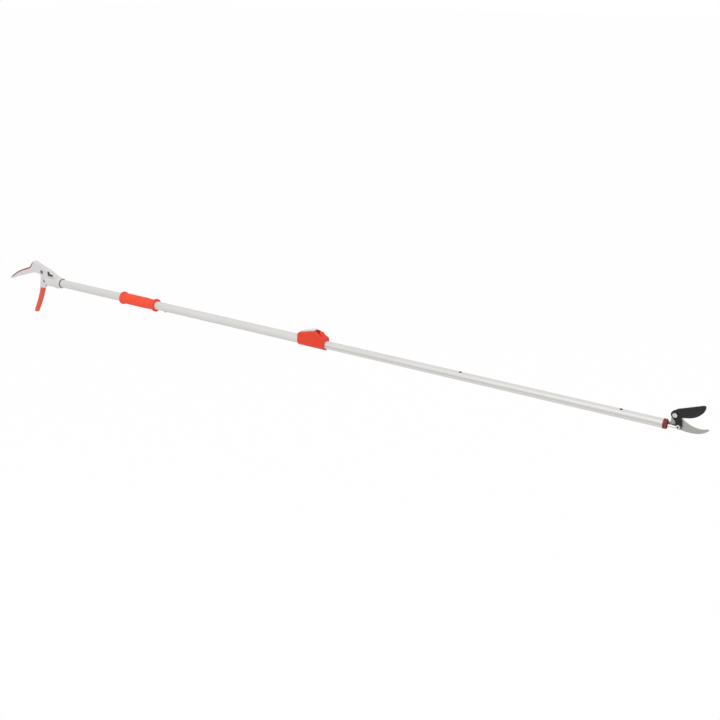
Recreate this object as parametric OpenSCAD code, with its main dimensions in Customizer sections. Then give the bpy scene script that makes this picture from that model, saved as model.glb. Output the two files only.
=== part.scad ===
// Telescopic long-reach pruner: a cast handle with a squeeze lever, two tubes with a lever lock, and a
// bypass head worked by a pull rod inside the tubes. Millimetres. X runs along the pole to the head,
// Z is up and the lever hangs down. The origin is on the pole's axis, in the middle of the grip sleeve.

/* [Pole] */
// Outside diameter of the outer tube
outer_tube_d = 22; // [21:0.5:23]
// Wall of the two tubes
tube_wall = 1; // [0.9:0.1:1.2]
// Radial gap between the inner tube and the outer one
slide_gap = 0.2; // [0.15:0.05:0.3]
// Distance from the middle of the grip to the front of the outer tube
outer_reach = 592; // [565:1:645]
// How far the inner tube stays inside the outer one at full length
tube_overlap = 107; // [80:1:140]
// Distance from the lock peg to the front of the inner tube
inner_reach = 808; // [790:1:840]
// Distance between two lock holes
lock_pitch = 361; // [330:1:365]
// Number of lock holes
lock_holes = 3; // [2:1:3]
// Diameter of the lock peg
peg_d = 5.8; // [5:0.1:6.4]
// Width of the groove along each side of the inner tube
groove_w = 2.8; // [2.2:0.1:3.2]

/* [Grip] */
// Length of the grip sleeve
grip_len = 122; // [105:1:140]
// Wall of the grip sleeve
grip_wall = 3.5; // [2.5:0.1:5]
// Height of the flanges at its ends
grip_flange = 2.6; // [1.5:0.1:4]

/* [Handle] */
// Distance from the middle of the grip to the mouth of the handle's socket
mouth_back = 303; // [285:1:325]
// Thickness of the handle across the lever slot
handle_t = 15; // [14.4:0.1:17]
// Wall of the tube socket
socket_wall = 4.6; // [3.6:0.1:5.4]
// Thickness of the soft pad on the tail
pad_t = 2.6; // [2:0.1:4]
// Thickness of the squeeze lever
lever_t = 8; // [7.4:0.1:8.6]
// Wall of the soft sleeve on the lever
sleeve_wall = 2.2; // [1.6:0.1:3]
// Diameter of the lever's pivot bolt
lever_bolt_d = 6; // [5:0.1:7]
// Diameter of the pin that works the pull rod
rod_pin_d = 5; // [4:0.1:5.6]

/* [Pull rod] */
// Height of the pull rod's axis, below the pole's axis
rod_drop = 2; // [1.6:0.1:2.2]
// Diameter of the upper pull rod
rod_d = 6; // [5:0.1:6.2]
// Outside diameter of the lower pull tube
pull_tube_d = 9; // [8.8:0.1:9.4]
// Stroke of the pull rod
rod_stroke = 17.6; // [16:0.1:18]
// Wire of the return spring
spring_wire = 1.4; // [1:0.1:1.6]

/* [Head] */
// Thickness of the cutting blade
blade_t = 3.6; // [3:0.1:3.7]
// Thickness of the hook blade
hook_t = 4; // [3:0.1:4.05]
// Width of the bevel ground along the cutting edge
bevel_w = 5; // [3:0.1:7]
// Diameter of the head's pivot bolt
head_bolt_d = 6; // [5:0.1:7]
// Diameter of the screw that links the rod to the blade
link_d = 4.5; // [4:0.1:5]

/* [Hidden] */
$fn = 48;

// Clearances: pieces fixed together, turning or sliding on each other, and moving past each other
snug = 0.05;
run = 0.1;
free = 0.3;
// How far a cutter runs past the face that it opens
past = 1;

// Tubes
outer_r = outer_tube_d / 2;
outer_bore_r = outer_r - tube_wall;
inner_r = outer_bore_r - slide_gap;
inner_bore_r = inner_r - tube_wall;
groove_r = groove_w / 2 + 0.1;
groove_y = inner_r + 0.5;
groove_back_r = groove_r + tube_wall;
tube_start = -mouth_back - 30;
tube_end = outer_reach;
lock_x = tube_end + 7;
inner_start = tube_end - tube_overlap;
inner_end = lock_x + inner_reach;
hole_r = peg_d / 2 + 0.5;

// Handle: the socket's mouth, the lever's pivot and the pin that pulls the rod
mouth = -mouth_back;
socket_r = outer_r + socket_wall;
socket_front = mouth + 3;
wall_y = handle_t / 2;
slot_y = lever_t / 2 + free;
pivot = [mouth - 71, 23];
pin = [mouth - 67, -4];
catch_at = [mouth - 40, 20];
chamber_r = 8.4;
collar_r = chamber_r - 0.7;
pawl_r = 4;
bolt_head_t = 1.8;
nut_r = lever_bolt_d * 0.92;

// Pull rod
rod_z = -rod_drop;
rod_r = rod_d / 2;
pull_r = pull_tube_d / 2;
pull_bore_r = rod_r + 0.5;
pull_end = inner_start - 40;
coupler_r = pull_r + 1.1;
collar_x = mouth - 36.5;
collar_w = 5;
pull_start = collar_x - past;
yoke_t = 3;
yoke_pin_r = 1.5;
latch_x = pull_end + 6.5;
spring_start = tube_start + 13;
spring_len = 54;
spring_turns = 8;
spring_r = pull_r + spring_wire + 0.6;

// Head, measured from the front of the inner tube
head_pivot = [inner_end + 20.3, 23.2];
link = [inner_end + 29, 0];
link_arm = norm(link - head_pivot);
link_angle = atan2(link.y - head_pivot.y, link.x - head_pivot.x);
lobe_r = 6.2;
blade_y = 0;
hook_y = blade_y + blade_t + run;
tang_half = 3.9;
bolt_r = head_bolt_d / 2;

// Lock, measured from the front of the outer tube
house_start = tube_end - 64;
house_end = tube_end + 12.5;
house_r = outer_r + 2.4;
floor_z = outer_r + 1.2;
leaf_t = 1;
leaf_w = 6;
lever_pin = [tube_end - 53, outer_r + 6.5];
lever_pin_r = 1.5;
lock_screw_x = tube_end - 45;
lock_lever_w = 10.4;

// Points of a smooth curve through p, n steps between two points
function curve(p, n = 3) = concat(
    [for (i = [0 : len(p) - 2]) for (j = [0 : n - 1]) between(p, i, j / n)],
    [p[len(p) - 1]]);
function between(p, i, t) =
    let (a = p[max(i - 1, 0)])
    let (b = p[i])
    let (c = p[i + 1])
    let (d = p[min(i + 2, len(p) - 1)])
    (2 * b + (c - a) * t + (2 * a - 5 * b + 4 * c - d) * t * t + (3 * b - a - 3 * c + d) * t * t * t) / 2;
// Points of an arc round c
function arc(c, r, a0, a1, n = 8) = [for (i = [0 : n])
    let (a = a0 + (a1 - a0) * i / n)
    c + r * [cos(a), sin(a)]];
// A closed outline with every side moved inward by d; it runs anticlockwise
function inset(p, d) = [for (i = [0 : len(p) - 1])
    let (a = unit(p[i] - p[(i + len(p) - 1) % len(p)]))
    let (b = unit(p[(i + 1) % len(p)] - p[i]))
    p[i] + d * [-a.y - b.y, a.x + b.x] / (1 + a * b)];
function unit(v) = v / norm(v);
// Points moved by a step
function moved(p, step) = [for (q = p) q + step];
function reversed(p) = [for (i = [len(p) - 1 : -1 : 0]) p[i]];
// The outer or inner side of a band along a curve, w to its left
function beside(p, w) = [for (i = [0 : len(p) - 1])
    let (t = p[min(i + 1, len(p) - 1)] - p[max(i - 1, 0)])
    p[i] + w * [-t.y, t.x] / norm(t)];

// A round bar along X, and one along Y at (x, z)
module along_x(x0, x1, r, z = 0) {
    translate([x0, 0, z]) rotate([0, 90, 0]) cylinder(h = x1 - x0, r = r);
}
module along_y(at, y0, y1, r) {
    translate([at.x, y0, at.y]) rotate([-90, 0, 0]) cylinder(h = y1 - y0, r = r);
}
// A tapered disc along X
module cone_x(x0, x1, r0, r1) {
    translate([x0, 0, 0]) rotate([0, 90, 0]) cylinder(h = x1 - x0, r1 = r0, r2 = r1);
}
// A box between two corners
module block(lo, hi) {
    translate(lo) cube(hi - lo);
}
// An outline in X and Z made into a plate between y0 and y1
module plate(p, y0, y1) {
    translate([0, y1, 0]) rotate([90, 0, 0]) linear_extrude(y1 - y0) polygon(p);
}
// A closed skin over loops of points that have the same count; each runs anticlockwise seen from the last
module skin(loops) {
    n = len(loops[0]);
    last = len(loops) - 1;
    polyhedron(
        points = [for (l = loops) for (q = l) q],
        faces = concat(
            [[for (i = [0 : n - 1]) i]],
            [[for (i = [n - 1 : -1 : 0]) last * n + i]],
            [for (k = [0 : last - 1]) for (i = [0 : n - 1])
                [k * n + i, (k + 1) * n + i, (k + 1) * n + (i + 1) % n]],
            [for (k = [0 : last - 1]) for (i = [0 : n - 1])
                [k * n + i, (k + 1) * n + (i + 1) % n, k * n + (i + 1) % n]]));
}
// A plate with all its edges rounded by r
module round_plate(p, y0, y1, r, steps = 2) {
    near = [for (k = [0 : steps]) let (a = 90 * k / steps) [r * (1 - sin(a)), y0 + r * (1 - cos(a))]];
    far = [for (k = [steps : -1 : 0]) let (a = 90 * k / steps) [r * (1 - sin(a)), y1 - r * (1 - cos(a))]];
    skin([for (l = concat(near, far)) [for (q = reversed(inset(p, l.x))) [q.x, l.y, q.y]]]);
}

// Outer surface of the tail, from the foot of the crest to the tip, and the handle's whole outline
tail_top = moved(curve([[-107, 46.4], [-113.5, 37.4], [-121.5, 30], [-137, 24], [-154, 18], [-172, 10],
    [-190, -0.5], [-203, -9]]), [mouth, 0]);
tail_under = moved(curve([[-197, -13.5], [-180, -6.5], [-160, -1], [-140, 5.5], [-120, 12], [-104, 16.3],
    [-92, 17.2], [-83, 16], [-76, 12]]), [mouth, 0]);
lever_gap = moved([[-66.5, 4.5], [-55.5, -10.5]], [mouth, 0]);
crest = moved(concat(curve([[-14, 14.5], [-37, 27.3], [-64, 36.4], [-88, 44.2]]),
    arc([-103.4, 47.4], 2.4, 75, 155, 4)), [mouth, 0]);
tip = moved(arc([-208, -15], 3.2, 115, 300, 6), [mouth, 0]);
handle_outline = concat([[mouth - 6, -9]], crest, tail_top, tip, tail_under, lever_gap);

module handle_body() color([0.84, 0.83, 0.83]) difference() {
    rim = 1.4;
    union() {
        plate(handle_outline, -wall_y, wall_y);
        rotate([0, 90, 0]) rotate_extrude() polygon(concat(arc([0, mouth - 47.5], socket_r, -90, 0),
            [[socket_r, mouth - 18], [socket_r + rim, mouth - 16], [socket_r + rim, mouth - 12],
            [socket_r - 0.6, mouth - 12], [socket_r - 0.6, socket_front - 1], [socket_r - 1.6, socket_front],
            [0, socket_front]]));
    }
    lever_slot();
    along_x(tube_start - snug, socket_front + past, outer_r + snug);
    along_x(collar_x - rod_stroke - 1.4, tube_start + past, chamber_r, rod_z);
    pad_seat(snug);
    along_y(pivot, -wall_y - past, wall_y + past, lever_bolt_d / 2 + snug);
    along_y(pivot, -wall_y - past, -wall_y + bolt_head_t + run, lever_bolt_d * 0.9 + free);
    along_y(pivot, wall_y - bolt_head_t - run, wall_y + past, nut_r + free);
    along_y(catch_at, -wall_y - past, wall_y - 1.4, rod_pin_d / 2 + run);
    socket_screw_hole();
}

// The space where the lever's head, the yoke and the catch's pawl move
module lever_slot() {
    head_r = 13;
    along_y(pivot, -slot_y, slot_y, head_r);
    along_y(catch_at, -slot_y, slot_y, pawl_r + 2 * free);
    plate(moved([[-97, -30], [-59, -30], [-59, -9], [-36, -9], [-36, 20], [-40, 24], [-58, 30], [-84, 31],
        [-97, 15.5]], [mouth, 0]), -slot_y, slot_y);
}

// Band of the soft pad along the tail
module pad_seat(gap) {
    plate(concat(beside(tail_top, -pad_t - 2), reversed(beside(tail_top, pad_t + gap))),
        -wall_y - past, wall_y + past);
}
module palm_pad() color([0.65, 0.16, 0.12]) {
    plate(concat(tail_top, reversed(beside(tail_top, pad_t))), -wall_y - free, wall_y + free);
}

module lever_pivot_bolt() color([0.25, 0.25, 0.26]) difference() {
    union() {
        along_y(pivot, -wall_y + run, -wall_y + bolt_head_t, lever_bolt_d * 0.9);
        along_y(pivot, -wall_y + bolt_head_t, wall_y - run, lever_bolt_d / 2);
    }
    along_y(pivot, -wall_y, -wall_y + bolt_head_t * 0.7, lever_bolt_d * 0.4, $fn = 6);
}
module lever_pivot_nut() color([0.6, 0.6, 0.6]) difference() {
    along_y(pivot, wall_y - bolt_head_t, wall_y - run, nut_r, $fn = 6);
    along_y(pivot, 0, wall_y + past, lever_bolt_d / 2 + snug);
}

// Screw from below through the socket and the tube into the rod guide
socket_screw_x = tube_start + 7;
socket_screw_r = 2;
module socket_screw_hole() {
    translate([socket_screw_x, 0, -socket_r - past]) cylinder(h = socket_r, r = socket_screw_r + snug);
    translate([socket_screw_x, 0, -socket_r - past]) cylinder(h = past + 2, r = socket_screw_r * 1.8 + free);
}
module socket_screw() color([0.5, 0.5, 0.52]) difference() {
    union() {
        translate([socket_screw_x, 0, -socket_r]) cylinder(h = 2, r = socket_screw_r * 1.8);
        translate([socket_screw_x, 0, -socket_r])
            cylinder(h = socket_r - outer_bore_r + 2.5, r = socket_screw_r);
    }
    translate([socket_screw_x, 0, -socket_r - past]) cylinder(h = past + 1.3, r = 1.6, $fn = 6);
}

module seal_ring() color([0.08, 0.08, 0.08]) difference() {
    ring_r = outer_r + 1.1;
    ring_end = socket_front + 2;
    union() {
        along_x(socket_front, ring_end - 0.6, ring_r);
        cone_x(ring_end - 0.6, ring_end, ring_r, ring_r - 0.6);
    }
    along_x(socket_front - past, ring_end + past, outer_r + snug);
}

grip_rivet_x = grip_len / 2 + 30;
grip_rivet_r = 1.5;
module outer_tube() color([0.86, 0.85, 0.84]) difference() {
    along_x(tube_start, tube_end, outer_r);
    along_x(tube_start - past, tube_end + past, outer_bore_r);
    translate([socket_screw_x, 0, -outer_r - past]) cylinder(h = outer_r, r = socket_screw_r + snug);
    translate([grip_rivet_x, 0, -outer_r - past]) cylinder(h = outer_r, r = grip_rivet_r + snug);
    translate([lock_screw_x, 0, 0]) cylinder(h = outer_r + past, r = lever_pin_r + snug);
}

module rod_guide() color([0.9, 0.89, 0.85]) difference() {
    along_x(tube_start + past, spring_start, outer_bore_r - snug);
    along_x(tube_start, spring_start + past, pull_r + run, rod_z);
    translate([socket_screw_x, 0, -outer_r])
        cylinder(h = outer_r - outer_bore_r + 2.8, r = socket_screw_r + snug);
}

// Coil as one tube: rings of sides points along the turns
spring_rings = 8;
spring_sides = 6;
spring_gap = spring_len / (spring_turns + 0.1) - spring_wire;
echo(least_gap_between_spring_turns = spring_gap);
module return_spring() color([0.7, 0.7, 0.7]) {
    rise = (spring_len - spring_wire - 2 * snug) / spring_turns;
    skin([for (i = [0 : spring_turns * spring_rings])
        let (a = 360 * i / spring_rings)
        [for (j = [0 : spring_sides - 1])
            let (b = -360 * j / spring_sides)
            let (r = spring_r + spring_wire / 2 * cos(b))
            [spring_start + snug + spring_wire / 2 + rise * a / 360 + spring_wire / 2 * sin(b),
                r * cos(a), rod_z + r * sin(a)]]]);
}

module grip_sleeve() color([1, 0.3, 0.2]) difference() {
    grip_r = outer_r + grip_wall;
    flange_r = grip_r + grip_flange;
    step_x = grip_len / 2 - 34;
    step = 0.7;
    union() {
        along_x(-grip_len / 2, step_x, grip_r);
        along_x(step_x - past, grip_len / 2, grip_r - step);
        for (side = [0, 1]) mirror([side, 0, 0]) {
            cone_x(grip_len / 2 - 7, grip_len / 2 - 4.5, grip_r - step - 0.01, flange_r);
            along_x(grip_len / 2 - 4.5, grip_len / 2 - 1, flange_r);
            cone_x(grip_len / 2 - 1, grip_len / 2, flange_r, flange_r - 1);
        }
    }
    along_x(-grip_len, grip_len, outer_r + snug);
}

module grip_rivet() color([0.2, 0.2, 0.2]) {
    translate([grip_rivet_x, 0, -outer_r]) cylinder(h = tube_wall - snug, r = grip_rivet_r);
    translate([grip_rivet_x, 0, -outer_r - 2.2]) cylinder(h = 2.2, r1 = 2.2, r2 = 3.4);
}

// Height of the lock housing's top above the pole's axis, along the housing
house_top = curve([[0, 7.6], [3, 8.6], [22, 14], [40, 18.4], [49, 19.4], [54, 18.2], [60, 14.4], [66, 11],
    [72, 8.4], [76.5, 5.6]], 2);
// Outline of the boss over the peg, above the tube
peg_boss = moved([[56, 4], [74.5, 4], [73.5, 8.4], [69, 13.6], [65.5, 17.8], [63, 18.8], [60, 17], [56, 12]],
    [house_start, outer_r]);
// Section of the housing: a round belly and a top of width w with rounded corners
function house_section(x, top, r, w) =
    let (c = min(5, top / 3))
    let (right = arc([w - c, top - c], c, 0, 90, 4))
    let (left = arc([c - w, top - c], c, 90, 180, 4))
    [for (q = concat(right, left, arc([0, 0], r, 180, 360, 14))) [x, q.x, q.y]];
module lock_housing() color([0.93, 0.26, 0.17]) difference() {
    union() {
        skin([for (s = house_top)
            house_section(house_start + s.x, outer_r + s.y, house_r, house_r - 1.4)]);
        plate(peg_boss, -lock_lever_w / 2, lock_lever_w / 2);
    }
    along_x(house_start - past, tube_end, outer_r + snug);
    along_x(tube_end - past, house_end + past, inner_r + free);
    along_x(tube_end + snug, house_end - 1.2, bush_r + snug);
    block([house_start + 5, -lock_lever_w / 2 - free, floor_z],
        [house_start + 61, lock_lever_w / 2 + free, 3 * house_r]);
    block([house_start + 60, -leaf_w / 2 - free, floor_z],
        [lock_x + 4.5, leaf_w / 2 + free, floor_z + 4]);
    along_y(lever_pin, -house_r, house_r, lever_pin_r + snug);
    translate([lock_screw_x, 0, 0]) cylinder(h = floor_z + past, r = lever_pin_r + snug);
    translate([lock_x, 0, 0]) cylinder(h = floor_z + past, r = peg_d / 2 + free);
}

// Bush with keys that run in the inner tube's grooves
bush_r = outer_r + 1;
module guide_bush() color([0.15, 0.15, 0.15]) difference() {
    along_x(tube_end + run, house_end - 1.2 - run, bush_r);
    difference() {
        along_x(tube_end, house_end, inner_r + run);
        for (side = [-1, 1])
            translate([tube_end, side * groove_y, 0]) rotate([0, 90, 0])
                cylinder(h = 20, r = groove_r - free);
    }
    translate([lock_x, 0, 0]) cylinder(h = floor_z + past, r = peg_d / 2 + free);
}

module lock_pivot_pin() color([0.7, 0.7, 0.7]) {
    along_y(lever_pin, -10, 10, lever_pin_r);
}

// Leaf with the peg riveted to its end; the lever lifts it
module lock_spring() color([0.6, 0.6, 0.62]) {
    difference() {
        block([lock_screw_x - 4, -leaf_w / 2, floor_z], [lock_x + 4, leaf_w / 2, floor_z + leaf_t]);
        translate([lock_screw_x, 0, 0]) cylinder(h = floor_z * 2, r = lever_pin_r + snug);
    }
    translate([lock_x, 0, inner_bore_r - 2.5]) cylinder(h = floor_z - inner_bore_r + 2.5, r = peg_d / 2);
    translate([lock_x, 0, floor_z + leaf_t]) cylinder(h = 1.2, r1 = peg_d / 2.2, r2 = peg_d / 3);
}
module lock_screw() color([0.7, 0.7, 0.7]) {
    top = floor_z + leaf_t;
    shank = top - outer_bore_r - snug;
    translate([lock_screw_x, 0, top - shank]) cylinder(h = shank, r = lever_pin_r);
    translate([lock_screw_x, 0, top]) cylinder(h = 1.5, r = 2.7);
}

// Flip lever of the lock: its boss, the cover with the raised finger tip, and the stirrup round the leaf
module lock_lever() color([0.85, 0.85, 0.85]) difference() {
    base = outer_r;
    half = lock_lever_w / 2;
    union() {
        along_y(lever_pin, -half, half, 4.6);
        plate(moved(concat(
            [[-50, 5.6], [-38, 5.6], [-34, 2.6], [-24, 2.6], [-20.5, 12], [-18.4, 19.8]],
            arc([-18, 22], 1.7, -35, 100, 5),
            curve([[-25, 22], [-38, 18.4], [-53, 14.2]])), [tube_end, base]), -half, half);
    }
    along_y(lever_pin, -half - past, half + past, lever_pin_r + run);
    block([tube_end - 40, -leaf_w / 2 - free, floor_z - past],
        [tube_end, leaf_w / 2 + free, floor_z + leaf_t + free]);
    block([tube_end - 54, -3.2, floor_z], [tube_end - 40, 3.2, floor_z + leaf_t + 2]);
}

// Squeeze lever: head round the pivot, fork at the rod pin, and the arm that the sleeve covers
arm_line = moved(curve([[-80.5, -26], [-90, -48.5], [-100.5, -69], [-112, -89], [-119, -101]], 3),
    [mouth, 0]);
arm_half = 6.4;
arm_foot = 4.4;
arm_root = [mouth - 78, -14];
// A side of a band along a curve whose width runs from w0 to w1
function flank(p, w0, w1) = [for (i = [0 : len(p) - 1])
    beside(p, w0 + (w1 - w0) * i / (len(p) - 1))[i]];
arm_t = lever_t - 2.4;
module squeeze_lever() color([0.86, 0.86, 0.86]) difference() {
    half = lever_t / 2;
    union() {
        along_y(pivot, -half, half, 11);
        along_y(pin, -half, half, 8);
        plate(moved(concat(
            [[-60.5, 20], [-60, -4], [-63, -14], [-68.8, -24.5]],
            [[-90, -26.3], [-86.2, -12], [-81.5, 5], [-81.5, 20]]), [mouth, 0]), -half, half);
        plate(concat([arm_root], flank(arm_line, -arm_half, -arm_foot),
            reversed(flank(arm_line, arm_half, arm_foot))), -arm_t / 2, arm_t / 2);
    }
    along_y(pivot, -half - past, half + past, lever_bush_r + snug);
    along_y(pin, -half - past, half + past, rod_pin_d / 2 + snug);
    along_y(pin, -yoke_t / 2 - free, yoke_t / 2 + free, 13.5);
}

lever_bush_r = lever_bolt_d / 2 + 2;
module lever_bush() color([0.75, 0.6, 0.35]) difference() {
    along_y(pivot, -lever_t / 2, lever_t / 2, lever_bush_r);
    along_y(pivot, -lever_t, lever_t, lever_bolt_d / 2 + snug);
}

// Hollow rivet through the fork
module rod_pin() color([0.2, 0.2, 0.2]) difference() {
    union() {
        along_y(pin, -lever_t / 2 - snug, lever_t / 2 + snug, rod_pin_d / 2);
        for (side = [0, 1]) mirror([0, side, 0])
            along_y(pin, lever_t / 2 + snug, lever_t / 2 + 0.8, rod_pin_d / 2 + 1.2);
    }
    along_y(pin, -lever_t, lever_t, rod_pin_d / 2 - 0.7);
}

module lever_sleeve() color([0.88, 0.34, 0.28]) difference() {
    line = curve([for (i = [0 : 3 : len(arm_line) - 1]) arm_line[i]], 4);
    front = reversed(flank(line, arm_half + sleeve_wall, arm_foot + sleeve_wall));
    back = flank(line, -arm_half - sleeve_wall, -arm_foot - sleeve_wall);
    top = [mouth - 71.3, -25.2];
    foot = back[len(back) - 1] + [-2, -7.6];
    out_y = arm_t / 2 + sleeve_wall;
    outline = concat(front, [top], [for (i = [1 : len(back) - 1]) back[i]], [foot]);
    round_plate(outline, -out_y, out_y, sleeve_wall);
    plate(concat([arm_root], flank(arm_line, -arm_half - snug, -arm_foot - snug),
        reversed(flank(arm_line, arm_half + snug, arm_foot + snug))),
        -arm_t / 2 - snug, arm_t / 2 + snug);
}

// Thumb catch: an L outside, its shaft, and the pawl that drops behind the rod's stop collar
module safety_catch() color([0.06, 0.06, 0.06]) {
    y0 = -wall_y - 2.8;
    y1 = -wall_y - free;
    arm_w = 4.6;
    plate(moved([[-arm_w / 2, -arm_w / 2], [15, -arm_w / 2], [15, arm_w / 2], [arm_w / 2, arm_w / 2],
        [arm_w / 2, 9.5], [-arm_w / 2, 9.5]], catch_at), y0, y1);
    along_y(catch_at, y1, wall_y - 1.6, rod_pin_d / 2);
}
module catch_pawl() color([0.5, 0.5, 0.5]) difference() {
    length = 16;
    half = lever_t / 2 - 0.4;
    union() {
        along_y(catch_at, -half, half, pawl_r);
        plate(moved([[0, -2.5], [0, 2.5], [-length, 2.5], [-length, -2.5]], catch_at), -half, half);
    }
    along_y(catch_at, -half - past, half + past, rod_pin_d / 2 + snug);
}

// Yoke: the lever's pin slides up and down in its slot while it pulls the rod straight
module rod_yoke() color([0.55, 0.55, 0.57]) difference() {
    slot_half = rod_pin_d / 2 + 0.35;
    pin_arm = norm(pin - pivot);
    pin_low = pivot.y - pin_arm - run;
    pin_high = pivot.y - sqrt(pin_arm * pin_arm - pow(pin.x - pivot.x - rod_stroke, 2)) + free;
    tongue = pull_r - 0.4;
    tongue_end = pull_start + 15;
    union() {
        along_y(pin, -yoke_t / 2, yoke_t / 2, 8.5);
        plate([[pin.x, rod_z - tongue], [tongue_end, rod_z - tongue], [tongue_end, rod_z + tongue],
            [pull_start - 2 * past, rod_z + tongue], [pin.x, rod_z + tongue + 2]], -yoke_t / 2, yoke_t / 2);
    }
    along_y([pin.x, pin_low], -yoke_t, yoke_t, slot_half);
    along_y([pin.x, pin_high], -yoke_t, yoke_t, slot_half);
    block([pin.x - slot_half, -yoke_t, pin_low], [pin.x + slot_half, yoke_t, pin_high]);
    along_y([collar_x + collar_w / 2, rod_z], -yoke_t, yoke_t, yoke_pin_r + snug);
}

module lower_pull_tube() color([0.62, 0.62, 0.64]) difference() {
    along_x(pull_start, pull_end, pull_r, rod_z);
    along_x(pull_start - past, pull_end + past, pull_bore_r, rod_z);
    block([pull_start - past, -yoke_t / 2 - snug, rod_z - pull_r - past],
        [pull_start + 15 + snug, yoke_t / 2 + snug, rod_z + pull_r + past]);
    along_y([collar_x + collar_w / 2, rod_z], -pull_r - past, pull_r + past, yoke_pin_r + snug);
}

module stop_collar() color([0.5, 0.5, 0.52]) difference() {
    along_x(collar_x, collar_x + collar_w, collar_r, rod_z);
    along_x(collar_x - past, collar_x + collar_w + past, pull_r + snug, rod_z);
    along_y([collar_x + collar_w / 2, rod_z], -chamber_r, chamber_r, yoke_pin_r + snug);
}
module yoke_pin() color([0.7, 0.7, 0.7]) {
    along_y([collar_x + collar_w / 2, rod_z], run - collar_r, collar_r - run, yoke_pin_r);
}

module spring_collar() color([0.5, 0.5, 0.52]) difference() {
    seat = spring_start + spring_len;
    along_x(seat, seat + 5, spring_r + spring_wire / 2, rod_z);
    along_x(seat - past, seat + 5 + past, pull_r + snug, rod_z);
}

// Coupler on the front of the pull tube; its latch drops into a notch of the upper rod
latch_w = 4.4;
latch_top = rod_z + coupler_r - 0.3;
module rod_coupler() color([0.45, 0.45, 0.47]) difference() {
    along_x(pull_end - 16, pull_end + 12, coupler_r, rod_z);
    along_x(pull_end - 16 - past, pull_end + snug, pull_r + snug, rod_z);
    along_x(pull_end - past, pull_end + 12 + past, rod_r + run, rod_z);
    block([pull_end - 16 - past, -coupler_r, latch_top],
        [pull_end + 12 + past, coupler_r, latch_top + coupler_r]);
    block([latch_x - latch_w / 2 - free, -2.3, rod_z],
        [latch_x + latch_w / 2 + free, 2.3, latch_top + past]);
}
module latch_spring() color([0.6, 0.6, 0.62]) {
    block([pull_end - 14, -2, latch_top], [latch_x + latch_w / 2, 2, latch_top + 0.8]);
    block([latch_x - latch_w / 2, -2, rod_z + rod_r - 1.3], [latch_x + latch_w / 2, 2, latch_top]);
}

// Inner tube: a groove along each side, lock holes on top and rivet holes at the head
module groove_ribs(r) {
    for (side = [-1, 1]) translate([side * groove_y, 0]) circle(r = r);
}
module inner_tube() color([0.88, 0.87, 0.86]) difference() {
    translate([inner_start, 0, 0]) rotate([90, 0, 90]) linear_extrude(inner_end - inner_start) difference() {
        circle(r = inner_r);
        groove_ribs(groove_r);
        difference() {
            circle(r = inner_bore_r);
            groove_ribs(groove_back_r);
        }
    }
    for (k = [0 : lock_holes - 1])
        translate([lock_x + k * lock_pitch, 0, 0]) cylinder(h = inner_r + past, r = hole_r);
    tang_rivet_holes(inner_r + past);
}

module tail_bush() color([0.15, 0.15, 0.15]) difference() {
    union() {
        along_x(inner_start - 4, inner_start - snug, outer_bore_r - run);
        along_x(inner_start - 4, inner_start + 25, inner_bore_r - snug);
    }
    along_x(inner_start - 4 - past, inner_start + 25 + past, inner_bore_r - 0.8);
    for (side = [-1, 1])
        translate([inner_start - snug, side * groove_y, 0]) rotate([0, 90, 0])
            cylinder(h = 30, r = groove_back_r + snug);
}

plug_len = 40;
module end_plug() color([0.6, 0.14, 0.1]) difference() {
    ring_r = inner_r + 0.5;
    recess_r = 7.8;
    recess_z = -0.5;
    union() {
        difference() {
            along_x(inner_end - plug_len, inner_end + 1, inner_bore_r - snug);
            for (side = [-1, 1])
                translate([inner_end - plug_len - past, side * groove_y, 0]) rotate([0, 90, 0])
                    cylinder(h = plug_len + past + snug, r = groove_back_r + free);
        }
        along_x(inner_end + snug, inner_end + 3, ring_r);
        along_x(inner_end + 3, inner_end + 4, ring_r - 1.2);
        along_x(inner_end + 4, inner_end + 6.5, ring_r);
        cone_x(inner_end + 6.5, inner_end + 7.5, ring_r, ring_r - 1);
    }
    along_x(inner_end - plug_len - past, inner_end + 10, rod_r + free, rod_z);
    along_x(inner_end + 3.5, inner_end + 10, recess_r, recess_z);
    block([inner_end - plug_len - past, rod_r, -tang_half - snug],
        [inner_end + 10, hook_y + hook_t + snug, tang_half + snug]);
    tang_rivet_holes(inner_r);
}

// Two rivets from the far side hold the hook blade's tang
rivet_r = 1.5;
module tang_rivet_holes(y1) {
    for (x = [10, 26]) along_y([inner_end - x, 0], 0, y1, rivet_r + snug);
}
module tang_rivets() color([0.75, 0.75, 0.75]) {
    for (x = [10, 26]) {
        along_y([inner_end - x, 0], hook_y + 0.5, inner_r + snug, rivet_r);
        along_y([inner_end - x, 0], inner_r + snug, inner_r + 1.4, 2.5);
    }
}

// Hook blade: tang in the plug, plate behind the cutting blade, and the hook that holds the branch
hook_edge = moved(curve([[34, 15.4], [38, 12.2], [42.5, 9.4], [49.5, 6], [58, 3.4], [67, 2.1], [76, 2.9],
    [83.2, 5.2]]), [inner_end, 0]);
hook_back = moved(curve([[85.2, 2.6], [80.4, -1.2], [75.5, -4.2], [69, -6.9], [61, -8.5], [52, -9.1],
    [43, -8.8], [35, -7.8], [23, -6]]), [inner_end, 0]);
module hook_blade() color([0.63, 0.64, 0.62]) difference() {
    plate(concat(
        [[inner_end - plug_len + 4, -tang_half], [inner_end + 12, -tang_half]],
        reversed(hook_back),
        moved(arc([84.1, 3.8], 1.6, -46, 118, 4), [inner_end, 0]),
        reversed(hook_edge),
        [head_pivot + [8.5, -2]],
        arc(head_pivot, 8, 0, 200, 10),
        [[inner_end + 12, tang_half], [inner_end - plug_len + 4, tang_half]]), hook_y, hook_y + hook_t);
    along_y(head_pivot, 0, hook_y + hook_t + past, bolt_r + snug);
    tang_rivet_holes(hook_y + hook_t + past);
}

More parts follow.
